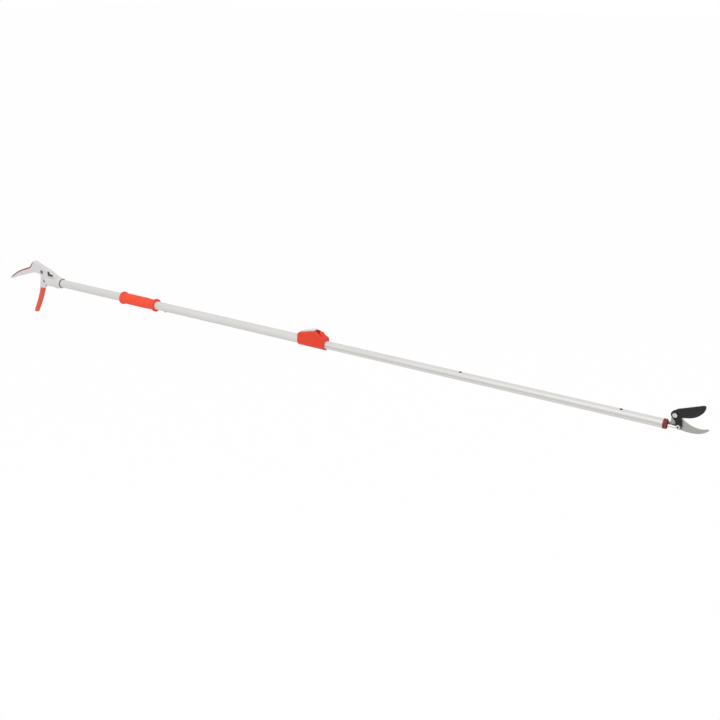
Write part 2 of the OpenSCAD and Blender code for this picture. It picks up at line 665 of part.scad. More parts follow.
// Cutting blade: spine, ground edge and the lobe that the rod pulls. The bevel is on the near face
blade_spine = moved([[50, 45.9], [24, 36.2]], [inner_end, 0]);
blade_edge = moved(curve([[33, 18.1], [40, 19.5], [48, 21.2], [56, 24.2], [63, 28.8], [68.6, 34.2],
    [72.8, 39.9], [75.2, 46], [75.9, 50.2]]), [inner_end, 0]);
blade_nose = moved([[75.5, 52], [74.2, 53.4], [72, 53.9], [68, 52.7]], [inner_end, 0]);
module cutting_blade() color([0.13, 0.13, 0.13]) difference() {
    slot_half = link_d / 2 + free;
    slot_in = head_pivot.y - link.y - 2 * run;
    slot_out = max(link_arm, norm(link - head_pivot - [rod_stroke, 0])) + free;
    plate(concat(arc(link, lobe_r, 205, 365), [link + [5, 11]], blade_edge, blade_nose, blade_spine,
        arc(head_pivot, 8.8, 110, 215), [link + [-7.6, 9.5]]), blade_y, blade_y + blade_t);
    edge_bevel();
    along_y(head_pivot, blade_y - past, blade_y + blade_t + past, bolt_r + snug);
    translate([head_pivot.x, 0, head_pivot.y]) rotate([0, -link_angle, 0])
        plate(concat(arc([slot_out, 0], slot_half, -90, 90), arc([slot_in, 0], slot_half, 90, 270)),
            blade_y - past, blade_y + blade_t + past);
}
// What grinding takes off along the edge: a wedge that grows from the heel and narrows at the tip
module edge_bevel() {
    last = len(blade_edge) - 1;
    land = 0.6;
    deep = blade_t - land;
    skin([for (i = [0 : last])
        let (t = unit(blade_edge[min(i + 1, last)] - blade_edge[max(i - 1, 0)]))
        let (n = [-t.y, t.x])
        let (w = bevel_w * min(1, (i + 0.2) / 4) * min(1, (last - i + 2) / 6))
        let (top = blade_edge[i] + n * w * (1 + past / deep))
        let (low = blade_edge[i] - n * w * past / deep)
        let (out = blade_edge[i] - n * (w + 3))
        [[top.x, blade_y - past, top.y], [out.x, blade_y - past, out.y],
            [low.x, blade_y + deep + past, low.y]]]);
}

bolt_head_r = bolt_r + 1.7;
module pivot_bolt() color([0.8, 0.8, 0.78]) difference() {
    union() {
        along_y(head_pivot, blade_y - 3.6, blade_y - run, bolt_head_r);
        along_y(head_pivot, blade_y - run, hook_y + hook_t + 6.2, bolt_r);
    }
    block([head_pivot.x - 0.8, blade_y - 4, head_pivot.y - bolt_head_r],
        [head_pivot.x + 0.8, blade_y - 2.4, head_pivot.y + bolt_head_r]);
}
module pivot_washer() color([0.75, 0.75, 0.75]) difference() {
    along_y(head_pivot, hook_y + hook_t, hook_y + hook_t + 0.9, bolt_r + 3.2);
    along_y(head_pivot, hook_y, hook_y + hook_t + 3, bolt_r + snug);
}
module pivot_nut() color([0.75, 0.75, 0.75]) difference() {
    along_y(head_pivot, hook_y + hook_t + 0.9, hook_y + hook_t + 5.6, bolt_r * 1.92, $fn = 6);
    along_y(head_pivot, hook_y, hook_y + hook_t + 8, bolt_r + snug);
}

// Upper pull rod: notches for the latch, and a flattened end with the eye
module upper_pull_rod() color([0.84, 0.84, 0.8]) difference() {
    eye_r = 4.4;
    flat_y = blade_y - free;
    eye_y = link_head_y + snug;
    union() {
        along_x(pull_end - 40, link.x - 2, rod_r, rod_z);
        along_y(link, eye_y, flat_y, eye_r);
    }
    block([link.x - 12, flat_y, -10], [link.x + 10, rod_r + past, 10]);
    block([link.x - eye_r, -rod_r - past, -10], [link.x + 10, eye_y, 10]);
    for (k = [0 : lock_holes - 1])
        block([latch_x - latch_w / 2 - 0.2 + k * lock_pitch, -rod_r - past, rod_z + rod_r - 1.5],
            [latch_x + latch_w / 2 + 0.2 + k * lock_pitch, rod_r + past, rod_z + rod_r + past]);
    along_y(link, -rod_r - past, flat_y + past, link_d / 2 + snug);
}
// Near face of the eye, where the link screw's head sits
link_head_y = 0.3 - rod_r;
module link_screw() color([0.8, 0.8, 0.76]) difference() {
    union() {
        along_y(link, link_head_y - 2.2, link_head_y, link_d / 2 + 1.1);
        along_y(link, link_head_y, blade_y + blade_t - free, link_d / 2);
    }
    along_y(link, link_head_y - 3, link_head_y - 0.8, link_d * 0.42, $fn = 6);
}

handle_body();
palm_pad();
lever_pivot_bolt();
lever_pivot_nut();
socket_screw();
seal_ring();
outer_tube();
rod_guide();
return_spring();
grip_sleeve();
grip_rivet();
lock_housing();
guide_bush();
lock_pivot_pin();
lock_spring();
lock_screw();
squeeze_lever();
lever_sleeve();
lever_bush();
rod_pin();
safety_catch();
catch_pawl();
rod_yoke();
lower_pull_tube();
yoke_pin();
stop_collar();
spring_collar();
rod_coupler();
latch_spring();
inner_tube();
tail_bush();
end_plug();
hook_blade();
tang_rivets();
pivot_bolt();
pivot_washer();
pivot_nut();
upper_pull_rod();
link_screw();
cutting_blade();
lock_lever();
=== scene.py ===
import math

import bmesh
import bpy
import numpy as np
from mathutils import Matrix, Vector


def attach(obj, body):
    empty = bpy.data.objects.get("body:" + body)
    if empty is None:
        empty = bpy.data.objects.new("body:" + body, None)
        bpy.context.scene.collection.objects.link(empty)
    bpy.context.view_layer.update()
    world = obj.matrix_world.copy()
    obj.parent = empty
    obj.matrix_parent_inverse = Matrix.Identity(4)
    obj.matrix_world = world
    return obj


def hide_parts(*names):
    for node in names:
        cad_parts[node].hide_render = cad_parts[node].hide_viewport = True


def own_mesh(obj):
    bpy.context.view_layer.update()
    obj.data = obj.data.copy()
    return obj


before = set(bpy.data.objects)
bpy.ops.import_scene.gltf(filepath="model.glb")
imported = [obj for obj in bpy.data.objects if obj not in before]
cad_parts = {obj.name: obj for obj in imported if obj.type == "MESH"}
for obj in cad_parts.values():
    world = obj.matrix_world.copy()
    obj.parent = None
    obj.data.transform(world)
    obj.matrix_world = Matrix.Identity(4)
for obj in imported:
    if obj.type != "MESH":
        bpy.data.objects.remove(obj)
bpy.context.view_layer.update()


# Handle: one aluminium casting with the tail, the lever's slot and the tube's socket.
# It is die cast, tumbled so that its edges are round, and sprayed in a satin light grey. A dark spot
# of painted shade lies round the rod's rivet.
class Wire:
    """One output of a shader node. Operators on it add Math nodes"""

    def __init__(self, shading, socket):
        self.shading = shading
        self.socket = socket

    def maths(self, operation, a, b):
        return self.shading.node("Math", {"operation": operation}, {0: a, 1: b})

    def __add__(self, other):
        return self.maths("ADD", self, other)

    def __sub__(self, other):
        return self.maths("SUBTRACT", self, other)

    def __rsub__(self, other):
        return self.maths("SUBTRACT", other, self)

    def __mul__(self, other):
        return self.maths("MULTIPLY", self, other)

    def __or__(self, other):
        return self.maths("MAXIMUM", self, other)

    __radd__ = __add__
    __rmul__ = __mul__
    __ror__ = __or__

    def ramp(self, low, high, to_low=0.0, to_high=1.0):
        """What lies between low and high, spread from to_low to to_high"""
        return self.shading.node("MapRange", {"clamp": True}, {
            0: self, 1: low, 2: high, 3: to_low, 4: to_high})

    def spread(self, to_low, to_high):
        """A noise, which lies mostly between 0.3 and 0.7, spread from to_low to to_high"""
        return self.ramp(0.3, 0.7, to_low, to_high)


class Shading:
    """The shader nodes of a material or of the world"""

    def __init__(self, owner):
        owner.use_nodes = True
        self.tree = owner.node_tree

    def node(self, kind, settings=None, sockets=None, out=0):
        made = self.tree.nodes.new("ShaderNode" + kind)
        for key, value in (settings or {}).items():
            setattr(made, key, value)
        for key, value in (sockets or {}).items():
            self.feed(made.inputs[key], value)
        return Wire(self, made.outputs[out]) if made.outputs else None

    def feed(self, socket, value):
        if isinstance(value, Wire):
            self.tree.links.new(value.socket, socket)
        else:
            socket.default_value = value


class Finish(Shading):
    """A material: a Principled shader and the nodes that vary it"""

    def __init__(self, name, **constants):
        self.material = bpy.data.materials.new(name)
        super().__init__(self.material)
        self.shader = self.tree.nodes["Principled BSDF"]
        self.place = self.node("TexCoord", out="Object")
        for key, value in constants.items():
            label = key.replace("_", " ").title().replace("Ior", "IOR")
            self.shader.inputs[label].default_value = value

    def vary(self, socket, value):
        self.feed(self.shader.inputs[socket], value)

    def noise(self, size, detail, roughness=0.55, stretch=None):
        """Noise whose lumps are about size metres across"""
        at = self.place
        if stretch:
            at = self.node("Mapping", {}, {"Vector": at, "Scale": stretch})
        return self.node("TexNoise", {}, {
            "Vector": at, "Scale": 1 / size, "Detail": detail, "Roughness": roughness})

    def mix(self, share, a, b):
        """A colour between a and b, each a wire or red, green and blue"""
        a, b = (tone if isinstance(tone, Wire) else (*tone, 1.0) for tone in (a, b))
        return self.node("Mix", {"data_type": "RGBA"}, {0: share, 6: a, 7: b}, out=2)

    def tint(self, share, a, b):
        self.vary("Base Color", self.mix(share, a, b))

    def bump(self, height, depth, strength):
        self.vary("Normal", self.node("Bump", {}, {
            "Height": height, "Distance": depth, "Strength": strength}))

    def along(self, axis):
        return self.node("SeparateXYZ", {}, {0: self.place}, out=axis)

    def within(self, centre, radius, axes=(0, 2), blur=0.0001):
        """1 inside a round bar that runs across two of the three axes"""
        a, b = (self.along(axis) - middle for axis, middle in zip(axes, centre))
        return (a * a + b * b).ramp((radius - blur) ** 2, (radius + blur) ** 2, 1.0, 0.0)

    def edges(self, low, high):
        """1 on worn corners of a finely meshed piece"""
        return self.node("NewGeometry", out="Pointiness").ramp(low, high)


def placed(name, data):
    """A new object in the scene"""
    made = bpy.data.objects.new(name, data)
    bpy.context.scene.collection.objects.link(made)
    return made


def smooth(mesh):
    for face in mesh.polygons:
        face.use_smooth = True


def applied(piece):
    """What the modifiers of a piece make, as its own plain mesh"""
    seen = piece.evaluated_get(bpy.context.evaluated_depsgraph_get())
    made = bpy.data.meshes.new_from_object(seen)
    piece.modifiers.clear()
    piece.data = made
    smooth(made)
    return piece


weld = 2e-6


def soft_edged(node, name, finish, grain, passes, keep):
    """A copy of a solid made of even small faces, with its edges rounded off"""
    piece = placed(name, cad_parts[node].data.copy())
    work = bmesh.new()
    work.from_mesh(piece.data)
    bmesh.ops.remove_doubles(work, verts=work.verts, dist=weld)
    work.to_mesh(piece.data)
    work.free()
    remade = piece.modifiers.new("remade", "REMESH")
    remade.mode = "VOXEL"
    remade.voxel_size = grain
    rounded = piece.modifiers.new("rounded", "SMOOTH")
    rounded.factor = 0.5
    rounded.iterations = passes
    fewer = piece.modifiers.new("fewer", "DECIMATE")
    fewer.ratio = keep
    applied(piece)
    piece.data.materials.clear()
    piece.data.materials.append(finish.material)
    return piece


rivet_at, rivet_shade_reach, rivet_shade_fades = (-0.37, -0.004), 0.0047, 0.0009
handle_paint = Finish("handle_paint", roughness=0.4, specular_ior_level=0.5, coat_roughness=0.3)
specks = handle_paint.noise(0.0009, detail=2)
clouds = handle_paint.noise(0.03, detail=4)
chips = handle_paint.noise(0.006, detail=4).ramp(0.45, 0.6)
worn = handle_paint.edges(0.54, 0.62) * chips
# Painted shade: a dark spot on the paint round the rod's rivet.
rivet_shade = handle_paint.within(rivet_at, rivet_shade_reach, blur=rivet_shade_fades)
grey = handle_paint.mix(clouds, (0.615, 0.59, 0.593), (0.695, 0.668, 0.67))
grey = handle_paint.mix(rivet_shade * 0.6, grey, (0.06, 0.06, 0.06))
handle_paint.tint(worn * 0.8, grey, (0.55, 0.55, 0.56))
handle_paint.vary("Metallic", worn * 0.8)
handle_paint.vary("Roughness", clouds.spread(0.36, 0.48) - worn * 0.1)
handle_paint.vary("Coat Weight", 0.15 - worn * 0.15)
handle_paint.bump(specks + clouds * 2, depth=0.00014, strength=0.7)

handle = soft_edged("handle_body", "handle_casting", handle_paint, grain=0.0006, passes=7, keep=0.35)
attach(handle, "handle_pole")
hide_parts("handle_body")

# Palm pad: a strip of dark red rubber let into the top of the tail, where the ball of the hand
# pushes. It is moulded with a crown that runs out at both ends, and pressed into its seat.
mouth = -0.303


def side_view(points):
    """X and Z of points that are measured in millimetres from the socket's mouth"""
    return np.array(points) / 1000 + (mouth, 0)


def flowing(points, steps):
    """A smooth curve through the points, as numpy rows"""
    p = np.array(points, float)
    made = []
    for i in range(len(p) - 1):
        a, b, c, d = p[max(i - 1, 0)], p[i], p[i + 1], p[min(i + 2, len(p) - 1)]
        for t in np.linspace(0, 1, steps, endpoint=False):
            made.append((2 * b + (c - a) * t + (2 * a - 5 * b + 4 * c - d) * t ** 2
                         + (3 * b - a - 3 * c + d) * t ** 3) / 2)
    return np.array(made + [p[-1]])


def leftward(line):
    """Unit normals to the left of a line in X and Z"""
    t = np.gradient(line, axis=0)
    t /= np.linalg.norm(t, axis=1)[:, None]
    return np.stack([-t[:, 1], t[:, 0]], 1)


def skinned(name, rings, finish, endless=False):
    """A mesh over rings of points. The last ring meets the first, or both ends are filled"""
    count, n = len(rings), len(rings[0])
    faces = []
    for k in range(count if endless else count - 1):
        here, there = k * n, (k + 1) % count * n
        faces += [(here + i, here + (i + 1) % n, there + (i + 1) % n, there + i) for i in range(n)]
    if not endless:
        faces += [tuple(range(n - 1, -1, -1)), tuple(range((count - 1) * n, count * n))]
    mesh = bpy.data.meshes.new(name)
    mesh.from_pydata([tuple(point) for ring in rings for point in ring], [], faces)
    work = bmesh.new()
    work.from_mesh(mesh)
    bmesh.ops.remove_doubles(work, verts=work.verts, dist=1e-7)
    bmesh.ops.recalc_face_normals(work, faces=work.faces)
    work.to_mesh(mesh)
    work.free()
    smooth(mesh)
    mesh.materials.append(finish.material)
    return placed(name, mesh)


pad_red = Finish("pad_red", roughness=0.6, specular_ior_level=0.35)
pad_grain = pad_red.noise(0.0005, detail=2)
scuff = pad_red.noise(0.012, detail=4).ramp(0.5, 0.75)
pad_red.tint(scuff * 0.4, (0.3, 0.028, 0.024), (0.4, 0.06, 0.05))
pad_red.vary("Roughness", scuff.ramp(0, 1, 0.55, 0.7))
pad_red.bump(pad_grain, depth=0.00012, strength=0.6)

pad_line = flowing(side_view([
    (-107, 46.4), (-113.5, 37.4), (-121.5, 30), (-137, 24), (-154, 18), (-172, 10), (-190, -0.5),
    (-203, -9)]), steps=8)
pad_out = -leftward(pad_line)
pad_half, pad_deep, pad_crown = 0.0078, 0.0026, 0.0006
crown_at_end, crown_gain = 0.55, 0.15
across = [(-1, -1), (-1, -0.45), (-0.985, -0.16), (-0.93, 0), (-0.6, 0.6), (0, 1), (0.6, 0.6),
          (0.93, 0), (0.985, -0.16), (1, -0.45), (1, -1)]
rings = []
for k, (at, out) in enumerate(zip(pad_line, pad_out)):
    full = min(1.0, crown_at_end + crown_gain * min(k, len(pad_line) - 1 - k))
    wide = pad_half * (0.9 + 0.1 * full)
    heights = [up * pad_crown * full if up > 0 else up * pad_deep for y, up in across]
    rings.append([(at[0] + out[0] * high, y * wide, at[1] + out[1] * high)
                  for (y, up), high in zip(across, heights)])
pad = skinned("palm_pad_rubber", rings, pad_red)
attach(pad, "handle_pole")
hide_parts("palm_pad")


# Bolts and screws of the handle: the lever's grey pivot bolt with its nut let into the far flank,
# and the plated screw under the socket that holds the tube and its guide. All have broken edges.
def node_tree(name, inputs):
    """A Geometry Nodes tree with named inputs; returns it with a maker of nodes"""
    tree = bpy.data.node_groups.new(name, "GeometryNodeTree")
    for label, kind in inputs:
        tree.interface.new_socket(label, in_out="INPUT", socket_type="NodeSocket" + kind)
    tree.interface.new_socket("Geometry", in_out="OUTPUT", socket_type="NodeSocketGeometry")
    source = tree.nodes.new("NodeGroupInput")
    sink = tree.nodes.new("NodeGroupOutput")

    def add(kind, settings=None, sockets=None):
        made = tree.nodes.new(kind)
        for key, value in (settings or {}).items():
            setattr(made, key, value)
        for key, value in (sockets or {}).items():
            if isinstance(value, bpy.types.NodeSocket):
                tree.links.new(value, made.inputs[key])
            else:
                made.inputs[key].default_value = value
        return made.outputs[0]

    return tree, source.outputs, sink.inputs[0], add


crease, corner = math.radians(28), math.radians(35)
even, given, result, add = node_tree("even_faces", [("Geometry", "Geometry")])
welded = add("GeometryNodeMergeByDistance", {}, {0: given["Geometry"], "Distance": weld})
bare = add("GeometryNodeRemoveAttribute", {}, {0: welded, "Name": "custom_normal"})
curved = add("GeometryNodeSetShadeSmooth", {"domain": "FACE"}, {0: bare})
sharp = add("FunctionNodeCompare", {"operation": "GREATER_THAN"}, {
    0: add("GeometryNodeInputMeshEdgeAngle"), 1: crease})
creased = add("GeometryNodeSetShadeSmooth", {"domain": "EDGE"}, {
    0: curved, "Selection": sharp, "Shade Smooth": False})
even.links.new(creased, result)


def dress(node, finish, edge=0.0):
    """A finish for a solid, smooth round its curves, with its edges broken"""
    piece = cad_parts[node]
    piece.material_slots[0].material = finish.material
    piece.modifiers.new("even", "NODES").node_group = even
    if edge:
        broken = piece.modifiers.new("edge", "BEVEL")
        broken.width = edge
        broken.segments = 2
        broken.limit_method = "ANGLE"
        broken.angle_limit = corner
        broken.harden_normals = True


def metal(name, low, high, roughness, lines=None, metallic=1.0):
    """A bare or plated metal: blotches, a fine grain, and drawn lines where there are some"""
    made = Finish(name, metallic=metallic)
    blotch = made.noise(0.008, detail=4)
    if lines:
        streak = made.noise(0.0006, detail=2, stretch=lines)
    else:
        streak = made.noise(0.0008, detail=3)
    made.tint(blotch * 0.6 + streak * 0.4, low, high)
    made.vary("Roughness", (blotch * 0.5 + streak * 0.5).spread(roughness - 0.06, roughness + 0.06))
    made.bump(streak, depth=0.00003, strength=0.5)
    return made


dark_steel = metal("dark_steel", (0.018, 0.018, 0.02), (0.04, 0.04, 0.042), 0.5, metallic=0.2)
bright_steel = metal("bright_steel", (0.56, 0.56, 0.54), (0.72, 0.72, 0.7), 0.3)
bolt_grey = metal("bolt_grey", (0.15, 0.15, 0.155), (0.23, 0.23, 0.235), 0.5, metallic=0.3)
dress("lever_pivot_bolt", bolt_grey, edge=0.0003)
dress("lever_pivot_nut", bright_steel, edge=0.0003)
dress("socket_screw", bright_steel, edge=0.0003)

# Squeeze lever: a steel forging, painted like the handle, that hangs from the pivot on a brass bush.
# A hollow dark rivet through its fork pulls the rod.
squeeze = soft_edged("squeeze_lever", "squeeze_forging", handle_paint, grain=0.0005, passes=5, keep=0.4)
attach(squeeze, "lever")
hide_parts("squeeze_lever")
bush_brass = metal("bush_brass", (0.5, 0.35, 0.13), (0.62, 0.46, 0.2), 0.33)
dress("lever_bush", bush_brass)
dress("rod_pin", dark_steel, edge=0.0002)

# Lever sleeve: orange-red vinyl, put on by dipping the warm arm, so that it has a rolled rim on top
# and a round drop at the foot.
lever_red = Finish("lever_red", roughness=0.45, specular_ior_level=0.5)
flow = lever_red.noise(0.02, detail=3)
skin_grain = lever_red.noise(0.0007, detail=2)
lever_red.tint(flow, (0.67, 0.064, 0.034), (0.74, 0.09, 0.047))
lever_red.vary("Roughness", flow.spread(0.4, 0.52))
lever_red.bump(skin_grain + flow * 3, depth=0.00014, strength=0.6)

arm = flowing(side_view([
    (-80.5, -26), (-90, -48.5), (-100.5, -69), (-112, -89), (-119, -101)]), steps=10)
arm_out = leftward(arm)
turns = np.linspace(0, 2 * math.pi, 40, endpoint=False)


def sleeve_ring(at, out, half, thick, power=0.62):
    """A ring with flat flanks round the arm; a power of 1 would be an ellipse"""
    c, s = np.cos(turns), np.sin(turns)
    a = np.sign(c) * np.abs(c) ** power * half
    b = np.sign(s) * np.abs(s) ** power * thick
    return [(at[0] + out[0] * u, v, at[1] + out[1] * u) for u, v in zip(a, b)]


def rolled(rows):
    """Rings from rows of X, Z, lean in radians, half width and half thickness, in millimetres"""
    return [sleeve_ring(side_view((x, z)), (math.cos(lean), math.sin(lean)), half / 1000, thick / 1000)
            for x, z, lean, half, thick in rows]


rim = ((-80.7, -25.9, 0.12, 7.2, 3.2), (-80.7, -26, 0.12, 8.6, 4.5), (-80.8, -26.3, 0.12, 9.1, 4.85),
       (-81, -26.9, 0.11, 9.2, 5), (-81.2, -27.7, 0.08, 9.1, 4.95), (-81.6, -28.8, 0.02, 8.75, 4.8),
       (-82.3, -30.6, -0.1, 8.5, 4.75), (-83.2, -33, -0.22, 8.4, 4.75))
drop = ((-118.6, -100.6, -0.3, 6.5, 4.75), (-119.5, -102.4, -0.14, 6.6, 4.7),
        (-119.9, -103.5, -0.02, 6.5, 4.5), (-120, -104.2, 0.03, 6.2, 4.1),
        (-120, -104.6, 0.06, 5.6, 3.3), (-120, -104.8, 0.06, 4.2, 2.0))
half_at_top, half_at_foot, half_thick = 0.0086, 0.0066, 0.005
after_rim, before_drop = 5, 3
rings = rolled(rim)
for k in range(after_rim, len(arm) - before_drop):
    half = half_at_top + (half_at_foot - half_at_top) * k / len(arm)
    rings.append(sleeve_ring(arm[k], arm_out[k], 0.97 * half, 0.95 * half_thick))
rings += rolled(drop)
sleeve = skinned("lever_dip", rings, lever_red)
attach(sleeve, "lever")
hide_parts("lever_sleeve")

# Safety catch: a black nylon L on the near flank, with its shaft through the casting and a steel pawl
# on it, which drops behind the stop collar of the rod.
black_plastic = Finish("black_plastic", specular_ior_level=0.4)
matt = black_plastic.noise(0.0006, detail=2)
dust = black_plastic.noise(0.01, detail=4)
black_plastic.tint(dust, (0.03, 0.03, 0.03), (0.06, 0.06, 0.06))
black_plastic.vary("Roughness", dust.spread(0.4, 0.55))
black_plastic.bump(matt, depth=0.00008, strength=0.5)
dress("safety_catch", black_plastic, edge=0.0005)
dress("catch_pawl", bright_steel, edge=0.0003)

# Lower pull rod: a flat steel yoke pinned into a drawn tube, with a collar for the catch, one for the
# spring, and the coupler whose leaf latch takes hold of the upper rod.
spring_steel = metal("spring_steel", (0.4, 0.4, 0.41), (0.52, 0.52, 0.53), 0.32, lines=(0.05, 1, 1))
drawn_tube = metal("drawn_tube", (0.5, 0.5, 0.51), (0.6, 0.6, 0.61), 0.35, lines=(0.02, 1, 1))
for node in ("rod_yoke", "yoke_pin", "stop_collar", "spring_collar", "rod_coupler"):
    dress(node, bright_steel, edge=0.0002)
dress("lower_pull_tube", drawn_tube)
dress("latch_spring", spring_steel)

# Rod guide and return spring: a pale nylon bush in the tube's rear end, and the wire coil between it
# and the rod's collar that opens the lever and the blade.
white_plastic = Finish("white_plastic", roughness=0.5, specular_ior_level=0.4)
milk = white_plastic.noise(0.01, detail=3)
white_plastic.tint(milk, (0.74, 0.72, 0.66), (0.82, 0.8, 0.74))
white_plastic.bump(milk, depth=0.00005, strength=0.4)
dress("rod_guide", white_plastic, edge=0.0003)


def grown(name, tree, values):
    """The plain mesh that a tree makes with these values"""
    piece = placed(name, bpy.data.meshes.new(name))
    maker = piece.modifiers.new("maker", "NODES")
    maker.node_group = tree
    for item in tree.interface.items_tree:
        if item.in_out == "INPUT":
            maker[item.identifier] = values[item.name]
    return applied(piece)


spring_end = (-0.31925, 0, -0.002)
tree, given, result, add = node_tree("coil", [
    ("Turns", "Float"), ("Radius", "Float"), ("Length", "Float"), ("Wire", "Float"),
    ("Finish", "Material")])
coil = add("GeometryNodeCurveSpiral", {}, {
    "Resolution": 28, "Rotations": given["Turns"], "Start Radius": given["Radius"],
    "End Radius": given["Radius"], "Height": given["Length"]})
wire = add("GeometryNodeCurvePrimitiveCircle", {}, {"Resolution": 12, "Radius": given["Wire"]})
tube = add("GeometryNodeCurveToMesh", {}, {"Curve": coil, "Profile Curve": wire, "Fill Caps": True})
laid = add("GeometryNodeTransform", {}, {
    "Geometry": tube, "Rotation": (0, math.pi / 2, 0), "Translation": spring_end})
real = add("GeometryNodeRealizeInstances", {}, {"Geometry": laid})
tree.links.new(add("GeometryNodeSetMaterial", {}, {
    "Geometry": real, "Material": given["Finish"]}), result)
spring = grown("spring_coil", tree, {
    "Turns": 8.0, "Radius": 0.0065, "Length": 0.0525, "Wire": 0.0007,
    "Finish": spring_steel.material})
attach(spring, "handle_pole")
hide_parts("return_spring")
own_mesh(spring)


# Outer tube: drawn aluminium, pale satin anodised, with fine lines along it from drawing. It is
# pushed into the handle's socket through a rubber ring, whose black is painted shade of the gap there.
hole_shade_radius = 0.0037


def anodised(name, roughness, groove=None, holes=()):
    """Pale anodised tube, with painted shade inside the groove's radius and in the peg's holes on top"""
    made = Finish(name, metallic=0.2, specular_ior_level=0.4)
    drawn = made.noise(0.0011, detail=3, stretch=(0.012, 1, 1))
    handled = made.noise(0.06, detail=4, stretch=(0.4, 1, 1))
    pale = made.mix(handled * 0.5 + drawn * 0.5, (0.59, 0.575, 0.56), (0.73, 0.715, 0.7))
    # Painted shade: the groove, and all inside its radius, darker than the anodising.
    if groove:
        groove_shade = made.within((0, 0), groove, axes=(1, 2))
        pale = made.mix(groove_shade * 0.3, pale, (0.33, 0.32, 0.31))
    # Painted shade: the peg's holes nearly black on the tube's top.
    for x in holes:
        on_top = made.along(2).ramp(0.0, 0.002)
        hole_shade = made.within((x, 0), hole_shade_radius, axes=(0, 1)) * on_top
        pale = made.mix(hole_shade * 0.95, pale, (0.03, 0.03, 0.03))
    made.vary("Base Color", pale)
    made.vary("Roughness", (handled * 0.6 + drawn * 0.4).spread(roughness - 0.06, roughness + 0.06))
    made.bump(drawn, depth=0.00005, strength=0.5)
    return made


tube_silver = anodised("tube_silver", 0.52)
dress("outer_tube", tube_silver)
# Painted shade: the seal ring's black stands for the shadow in the gap at the socket's mouth.
dress("seal_ring", black_plastic, edge=0.0006)

# Front grip: a red foam rubber sleeve with a rolled flange at each end and one shallow moulded ring.
# It is blown over the tube; a small rivet under the tube stops it from creeping.
grip_red = Finish("grip_red", roughness=0.62, specular_ior_level=0.3)
cells = grip_red.noise(0.0012, detail=4, roughness=0.7)
patches = grip_red.noise(0.014, detail=4)
grip_red.tint((cells * 0.5 + patches * 0.5).ramp(0.35, 0.65), (0.8, 0.05, 0.018), (0.93, 0.1, 0.042))
grip_red.vary("Roughness", patches.spread(0.55, 0.72))
grip_red.bump(cells, depth=0.0003, strength=0.6)

half, bore, body, thin = 0.061, 0.01105, 0.0145, 0.0138
flange, shoulder, lip = 0.0171, 0.0158, 0.0011
flange_wide, slope, barrel_from = 0.0042, 0.0028, 0.009
step_x = 0.027
lip_turn = [(lip * (1 - math.cos(a)), shoulder + (flange - shoulder) * math.sin(a))
            for a in np.linspace(0.3, math.pi / 2, 6)]
rise = [(t, (1 - math.cos(math.pi * t)) / 2) for t in np.linspace(0, 1, 9)]
profile = [(-half, bore), (-half, shoulder)]
profile += [(-half + inward, r) for inward, r in lip_turn]
profile += [(-half + flange_wide + slope * t, flange - (flange - body) * s) for t, s in rise]
profile += [(x, body) for x in np.linspace(-half + barrel_from, step_x - 0.0012, 12)]
profile += [(step_x - 0.0004, body - 0.00005), (step_x, body - 0.0003), (step_x + 0.0002, thin + 0.0001)]
profile += [(x, thin) for x in np.linspace(step_x + 0.0006, half - barrel_from, 6)]
profile += [(half - flange_wide - slope * (1 - t), thin + (flange - thin) * s) for t, s in rise]
profile += [(half - inward, r) for inward, r in reversed(lip_turn)]
profile += [(half, shoulder), (half, bore)]
rings = [[(x, r * math.cos(a), r * math.sin(a)) for x, r in profile]
         for a in np.linspace(0, 2 * math.pi, 96, endpoint=False)]
grip = skinned("grip_foam", rings, grip_red, endless=True)
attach(grip, "handle_pole")
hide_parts("grip_sleeve")
dress("grip_rivet", dark_steel, edge=0.0003)

# Lock: a red nylon moulding clamped round the end of the outer tube, with a black keyed bush in its
# front, a steel leaf that carries the locking peg, the screw that holds both, and the flip lever's pin.
lock_red = Finish("lock_red", roughness=0.38, specular_ior_level=0.28)
moulded = lock_red.noise(0.025, detail=3)
spark = lock_red.noise(0.0005, detail=2)
rubbed = lock_red.edges(0.53, 0.6)
red = lock_red.mix(moulded, (0.7, 0.04, 0.015), (0.79, 0.053, 0.02))
lock_red.tint(rubbed * 0.35, red, (0.95, 0.16, 0.09))
lock_red.vary("Roughness", moulded.spread(0.32, 0.46) + rubbed * 0.1)
lock_red.bump(spark, depth=0.00012, strength=0.6)
housing = soft_edged("lock_housing", "lock_moulding", lock_red, grain=0.00045, passes=5, keep=0.4)
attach(housing, "handle_pole")
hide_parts("lock_housing")
dress("guide_bush", black_plastic, edge=0.0003)
dress("lock_pivot_pin", bright_steel, edge=0.0003)
dress("lock_spring", spring_steel, edge=0.0001)
dress("lock_screw", bright_steel, edge=0.0003)

# Flip lever: a silver grey moulding that lies in the housing's top and turns on the pin.
# Lifting its tip pulls the peg out of the inner tube.
flip_silver = Finish("flip_silver", roughness=0.32, metallic=0.1, specular_ior_level=0.5)
flake = flip_silver.noise(0.0004, detail=2)
sheen = flip_silver.noise(0.02, detail=3)
flip_silver.tint(sheen * 0.6 + flake * 0.4, (0.71, 0.71, 0.71), (0.8, 0.8, 0.8))
flip_silver.vary("Roughness", sheen.spread(0.27, 0.4))
flip_silver.bump(flake, depth=0.00003, strength=0.4)
flip = soft_edged("lock_lever", "flip_moulding", flip_silver, grain=0.00032, passes=5, keep=0.4)
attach(flip, "lock_flip")
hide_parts("lock_lever")

# Inner tube: the same anodised aluminium, drawn with a groove along each side and drilled for the peg.
# A black bush on its rear end runs in the outer tube.
# Painted shade darkens its groove and the peg's holes.
inner_silver = anodised("inner_silver", 0.36, groove=0.0095, holes=(0.96, 1.321))
dress("inner_tube", inner_silver)
dress("tail_bush", black_plastic, edge=0.0003)

